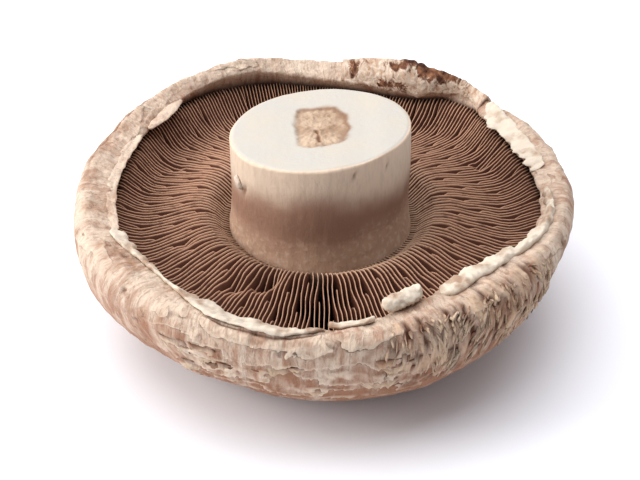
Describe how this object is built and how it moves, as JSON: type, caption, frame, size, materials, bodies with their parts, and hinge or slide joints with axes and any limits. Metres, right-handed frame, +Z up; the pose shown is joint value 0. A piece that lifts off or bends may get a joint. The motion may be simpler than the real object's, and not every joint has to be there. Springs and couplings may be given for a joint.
{
  "type": "open-cap button mushroom",
  "caption": "Large open mushroom resting on its rounded cap with the gills up, a short cut stem in the middle and torn veil tissue round the rolled margin.",
  "frame": {"origin": "on the resting surface, in the middle of the flattened crown of the cap", "axes": "+Z up, out of the gills along the stem to its cut end; -Y towards the viewer; +X to the right"},
  "size_m": [0.1001, 0.0976, 0.0449],
  "materials": {
    "cap_skin": "fibrous matte skin, cream to pinkish tan",
    "gills": "matte chocolate brown with a pinkish bloom",
    "stem_flesh": "smooth matte cream flesh, mauve brown lower down",
    "veil": "dry felted off-white tissue",
    "torn_skin": "dry fibrous torn skin, brown and cream"
  },
  "bodies": {
    "root": {"cap": "cap_skin", "gills": "gills", "stem": "stem_flesh", "veil_strip_left": "veil", "veil_scrap_front": "veil", "veil_curl_front": "veil", "veil_strip_right": "veil", "veil_frill_back": "veil", "torn_skin_flap": "torn_skin"}
  },
  "joints": []
}
